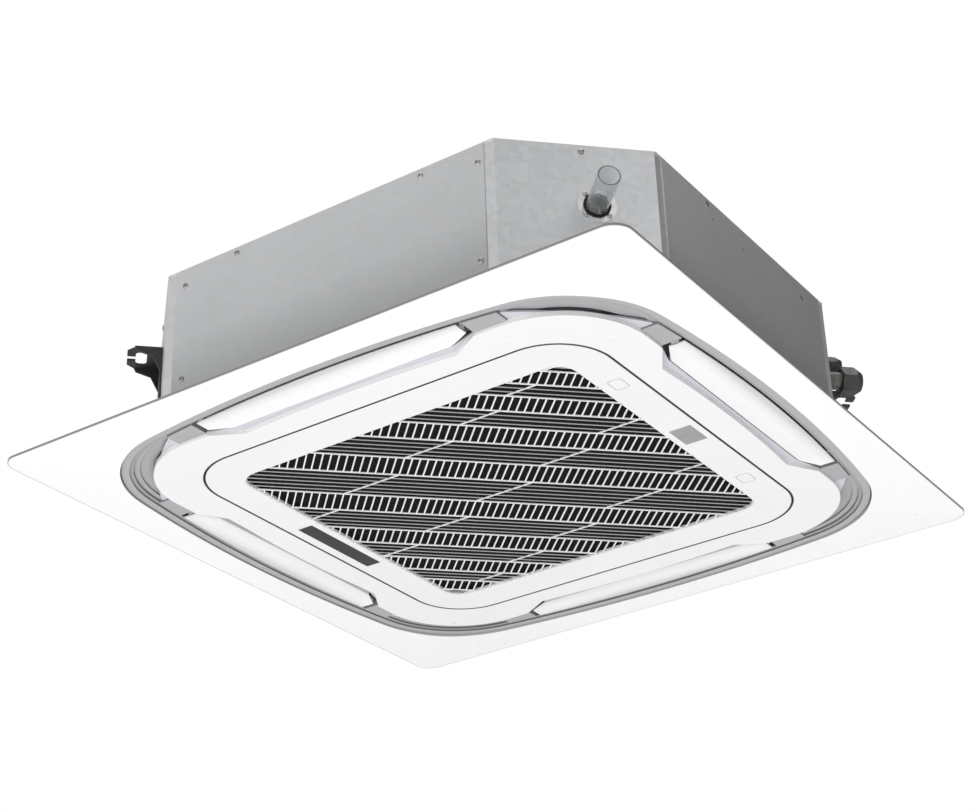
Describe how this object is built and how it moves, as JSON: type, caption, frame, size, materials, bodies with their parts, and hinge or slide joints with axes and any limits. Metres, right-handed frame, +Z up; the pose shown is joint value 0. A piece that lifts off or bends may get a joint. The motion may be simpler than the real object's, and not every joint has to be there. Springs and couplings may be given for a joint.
{
  "type": "ceiling cassette air conditioner",
  "caption": "Square ceiling air conditioner: steel casing above the ceiling with fan, coil, drain pan and pump; white face panel with tilting louvres round a hinged lattice suction grille",
  "frame": {"origin": "centre of the hanger slots, at the height of the slotted lug plates", "axes": "+Z up into the ceiling void, +Y towards the grille's hinge side, +X towards the side with the cable entry"},
  "size_m": [0.95, 0.95, 0.2397],
  "materials": {
    "galvanised": "satin galvanised sheet",
    "screw_zinc": "bright zinc",
    "lug_black": "semi-gloss",
    "foam_dark": "matte foam",
    "foam_white": "matte foam",
    "white_moulding": "satin",
    "fin_blue": "coated fins",
    "copper": "satin copper",
    "motor_grey": "matte",
    "shaft_steel": "ground",
    "nut_brass": "satin",
    "board_green": "satin",
    "terminal_cream": "satin",
    "pump_grey": "satin",
    "float_orange": "satin",
    "clear_tube": "clear",
    "rubber_black": "matte",
    "fitting_dark": "blackened",
    "panel_white": "smooth satin",
    "ring_grey": "smooth",
    "bridge_grey": "smooth",
    "ledge_lilac": "smooth",
    "louvre_white": "glossy",
    "grille_white": "satin",
    "lattice_grey": "satin",
    "filter_black": "matte",
    "window_dark": "glossy",
    "badge_grey": "satin"
  },
  "bodies": {
    "unit": {"casing_top": "galvanised", "wall_right": "galvanised", "wall_back": "galvanised", "wall_left": "galvanised", "wall_front": "galvanised", "drain_corner_plate": "galvanised", "side_corner_plates": "galvanised", "piping_corner_plate": "galvanised", "casing_screws": "screw_zinc", "foam_liner": "foam_dark", "drain_pan": "foam_white", "bell_mouth": "white_moulding", "coil_fins": "fin_blue", "coil_end_plates": "galvanised", "coil_pipes": "copper", "fan_motor": "motor_grey", "motor_bracket": "galvanised", "control_box": "galvanised", "control_box_lid": "galvanised", "control_board": "board_green", "terminal_block": "terminal_cream", "drain_pump": "pump_grey", "drain_flange": "galvanised", "drain_gasket": "rubber_black", "drain_tube": "clear_tube", "pipe_unions": "nut_brass", "gas_flare_nut": "fitting_dark", "liquid_flare_nut": "fitting_dark", "rubber_grommets": "rubber_black", "hanger_brackets": "lug_black", "panel_frame": "panel_white", "panel_seal": "foam_dark", "support_frame": "galvanised", "outlet_ring": "ring_grey", "corner_mouldings": "bridge_grey", "inner_duct_ring": "ledge_lilac", "inner_surround": "panel_white", "louvre_motors": "white_moulding", "panel_bolts": "screw_zinc"},
    "fan": {"fan_wheel": "white_moulding", "fan_shaft": "shaft_steel", "fan_nut": "nut_brass"},
    "drain_impeller": {"pump_impeller": "white_moulding"},
    "float": {"pump_float": "float_orange"},
    "grille": {"grille_frame": "grille_white", "grille_lattice": "lattice_grey", "filter_frame": "filter_black", "filter_mesh": "filter_black", "display_window": "window_dark", "display_board": "board_green", "badge_plate": "badge_grey"},
    "grille_hanger": {"hinge_arms": "shaft_steel"},
    "vane_right": {"louvre_right": "louvre_white"},
    "vane_back": {"louvre_back": "louvre_white"},
    "vane_left": {"louvre_left": "louvre_white"},
    "vane_front": {"louvre_front": "louvre_white"},
    "button_left": {"latch_button_left": "grille_white"},
    "button_right": {"latch_button_right": "grille_white"},
    "tongue_left": {"latch_tongue_left": "white_moulding"},
    "tongue_right": {"latch_tongue_right": "white_moulding"}
  },
  "joints": [
    {"name": "fan_spin", "type": "hinge", "parent": "unit", "child": "fan", "pos_m": [0, 0, -0.01], "axis": [0, 0, 1], "continuous": true},
    {"name": "impeller_spin", "type": "hinge", "parent": "unit", "child": "drain_impeller", "pos_m": [-0.31113, -0.31113, -0.075], "axis": [0, 0, 1], "continuous": true},
    {"name": "float_rise", "type": "slide", "parent": "unit", "child": "float", "axis": [0, 0, 1], "range_m": [0, 0.008]},
    {"name": "hanger_drop", "type": "slide", "parent": "unit", "child": "grille_hanger", "axis": [0, 0, -1], "range_m": [0, 0.01484]},
    {"name": "grille_hinge", "type": "hinge", "parent": "grille_hanger", "child": "grille", "pos_m": [0, 0.29, -0.1675], "axis": [1, 0, 0], "range_deg": [0, 85]},
    {"name": "vane_right_tilt", "type": "hinge", "parent": "unit", "child": "vane_right", "pos_m": [0.385, 0, -0.1571], "axis": [0, 1, 0], "range_deg": [0, 60]},
    {"name": "vane_back_tilt", "type": "hinge", "parent": "unit", "child": "vane_back", "pos_m": [0, 0.385, -0.1571], "axis": [-1, 0, 0], "range_deg": [0, 60]},
    {"name": "vane_left_tilt", "type": "hinge", "parent": "unit", "child": "vane_left", "pos_m": [-0.385, 0, -0.1571], "axis": [0, -1, 0], "range_deg": [0, 60]},
    {"name": "vane_front_tilt", "type": "hinge", "parent": "unit", "child": "vane_front", "pos_m": [0, -0.385, -0.1571], "axis": [1, 0, 0], "range_deg": [0, 60]},
    {"name": "button_left_push", "type": "slide", "parent": "grille", "child": "button_left", "axis": [0, 0, 1], "range_m": [0, 0.004], "stiffness_N_per_m": 600, "springref_m": -0.002},
    {"name": "tongue_left_draw", "type": "slide", "parent": "grille", "child": "tongue_left", "axis": [0, 1, 0], "range_m": [0, 0.004]},
    {"name": "button_right_push", "type": "slide", "parent": "grille", "child": "button_right", "axis": [0, 0, 1], "range_m": [0, 0.004], "stiffness_N_per_m": 600, "springref_m": -0.002},
    {"name": "tongue_right_draw", "type": "slide", "parent": "grille", "child": "tongue_right", "axis": [0, 1, 0], "range_m": [0, 0.004]}
  ],
  "couplings": [
    {"joint": "tongue_left_draw", "follows": "button_left_push", "ratio": 1},
    {"joint": "tongue_right_draw", "follows": "button_right_push", "ratio": 1},
    {"joint": "hanger_drop", "follows": "grille_hinge", "m_per_rad": 0.01}
  ]
}
